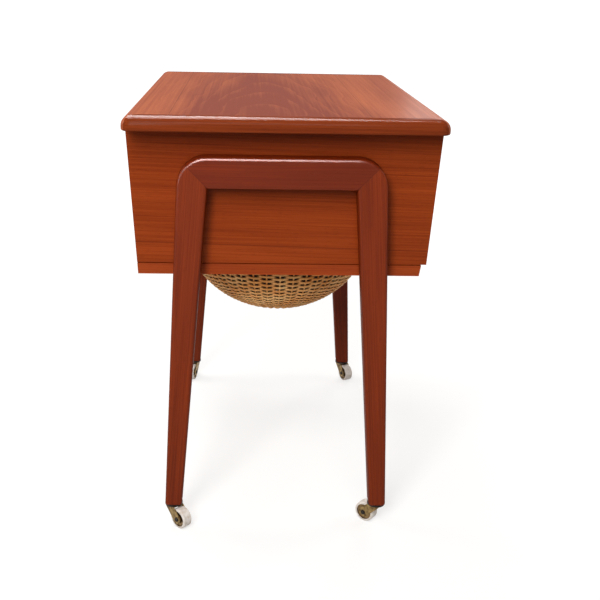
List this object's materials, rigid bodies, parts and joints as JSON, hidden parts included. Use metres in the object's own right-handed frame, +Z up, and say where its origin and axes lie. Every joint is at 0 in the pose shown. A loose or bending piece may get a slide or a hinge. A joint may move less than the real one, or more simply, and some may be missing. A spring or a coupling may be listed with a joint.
{
  "type": "sewing table",
  "caption": "Sewing table with a tapering drawer case on splayed U-shaped leg frames with castors, sliding drawers and a pull-out oval cane basket below.",
  "frame": {"origin": "on the floor under the middle of the table top", "axes": "+X along the table's length, -Y towards its front where the drawers and the basket come out, +Z up"},
  "size_m": [0.6, 0.42, 0.608],
  "materials": {
    "teak_top_veneer": "oiled teak veneer, soft sheen",
    "teak_lipping": "oiled solid teak, rounded and polished by use",
    "teak_case_veneer": "oiled teak veneer, horizontal grain",
    "teak_solid": "oiled solid teak, red-brown",
    "teak_strip": "oiled solid teak",
    "teak_drawer_front": "oiled teak veneer, horizontal grain",
    "beech": "waxed beech",
    "birch_plywood": "sanded plywood",
    "cane": "woven cane",
    "brass": "worn stamped brass",
    "brass_screw": "plain brass",
    "blackened_steel": "dark steel",
    "ivory_plastic": "ivory moulded plastic"
  },
  "bodies": {
    "table": {"top_lipping_front": "teak_lipping", "top_lipping_back": "teak_lipping", "top_lipping_left": "teak_lipping", "top_lipping_right": "teak_lipping", "top_panel": "teak_top_veneer", "end_panel_left": "teak_case_veneer", "leg_frame_rail_left": "teak_solid", "front_leg_left": "teak_solid", "back_leg_left": "teak_solid", "basket_runner_left": "teak_strip", "upper_drawer_runner_left": "beech", "lower_drawer_runner_left": "beech", "end_panel_right": "teak_case_veneer", "leg_frame_rail_right": "teak_solid", "front_leg_right": "teak_solid", "back_leg_right": "teak_solid", "basket_runner_right": "teak_strip", "upper_drawer_runner_right": "beech", "lower_drawer_runner_right": "beech", "back_panel": "teak_case_veneer", "top_rail_front": "beech", "top_rail_back": "beech", "mid_rail": "teak_strip", "bottom_rail": "beech", "corner_dowels": "beech", "castor_sockets": "blackened_steel", "wood_screws": "brass_screw", "runner_screws": "brass_screw"},
    "upper_drawer": {"upper_drawer_side_left": "beech", "upper_drawer_side_right": "beech", "upper_drawer_front": "teak_drawer_front", "upper_drawer_back": "beech", "upper_drawer_bottom": "birch_plywood", "drawer_long_divider": "beech", "drawer_cross_dividers": "beech", "thread_rack": "beech", "thread_pegs": "beech"},
    "lower_drawer": {"lower_drawer_side_left": "beech", "lower_drawer_side_right": "beech", "lower_drawer_front": "teak_drawer_front", "lower_drawer_back": "beech", "lower_drawer_bottom": "birch_plywood"},
    "basket": {"basket_board": "birch_plywood", "basket_front_rail": "teak_strip", "basket_slide_left": "beech", "basket_slide_right": "beech", "cane_basket": "cane"},
    "castor_left_front": {"castor_fork_left_front": "brass", "castor_axle_left_front": "blackened_steel"},
    "wheel_left_front": {"castor_wheel_left_front": "ivory_plastic"},
    "castor_left_back": {"castor_fork_left_back": "brass", "castor_axle_left_back": "blackened_steel"},
    "wheel_left_back": {"castor_wheel_left_back": "ivory_plastic"},
    "castor_right_front": {"castor_fork_right_front": "brass", "castor_axle_right_front": "blackened_steel"},
    "wheel_right_front": {"castor_wheel_right_front": "ivory_plastic"},
    "castor_right_back": {"castor_fork_right_back": "brass", "castor_axle_right_back": "blackened_steel"},
    "wheel_right_back": {"castor_wheel_right_back": "ivory_plastic"}
  },
  "joints": [
    {"name": "upper_drawer_slide", "type": "slide", "parent": "table", "child": "upper_drawer", "axis": [0, -1, 0], "range_m": [0, 0.27]},
    {"name": "lower_drawer_slide", "type": "slide", "parent": "table", "child": "lower_drawer", "axis": [0, -1, 0], "range_m": [0, 0.27]},
    {"name": "basket_slide", "type": "slide", "parent": "table", "child": "basket", "axis": [0, -1, 0], "range_m": [0, 0.24]},
    {"name": "castor_swivel_left_front", "type": "hinge", "parent": "table", "child": "castor_left_front", "pos_m": [-0.269, -0.1486, 0.0335], "axis": [0, 0, 1], "continuous": true},
    {"name": "wheel_spin_left_front", "type": "hinge", "parent": "castor_left_front", "child": "wheel_left_front", "pos_m": [-0.25871, -0.13634, 0.0155], "axis": [-0.766, 0.6428, 0], "continuous": true},
    {"name": "castor_swivel_left_back", "type": "hinge", "parent": "table", "child": "castor_left_back", "pos_m": [-0.269, 0.1546, 0.0335], "axis": [0, 0, 1], "continuous": true},
    {"name": "wheel_spin_left_back", "type": "hinge", "parent": "castor_left_back", "child": "wheel_left_back", "pos_m": [-0.28031, 0.14329, 0.0155], "axis": [0.7071, -0.7071, 0], "continuous": true},
    {"name": "castor_swivel_right_front", "type": "hinge", "parent": "table", "child": "castor_right_front", "pos_m": [0.269, -0.1486, 0.0335], "axis": [0, 0, 1], "continuous": true},
    {"name": "wheel_spin_right_front", "type": "hinge", "parent": "castor_right_front", "child": "wheel_right_front", "pos_m": [0.25462, -0.15561, 0.0155], "axis": [0.4384, -0.8988, 0], "continuous": true},
    {"name": "castor_swivel_right_back", "type": "hinge", "parent": "table", "child": "castor_right_back", "pos_m": [0.269, 0.1546, 0.0335], "axis": [0, 0, 1], "continuous": true},
    {"name": "wheel_spin_right_back", "type": "hinge", "parent": "castor_right_back", "child": "wheel_right_back", "pos_m": [0.25355, 0.15874, 0.0155], "axis": [-0.2588, -0.9659, 0], "continuous": true}
  ]
}
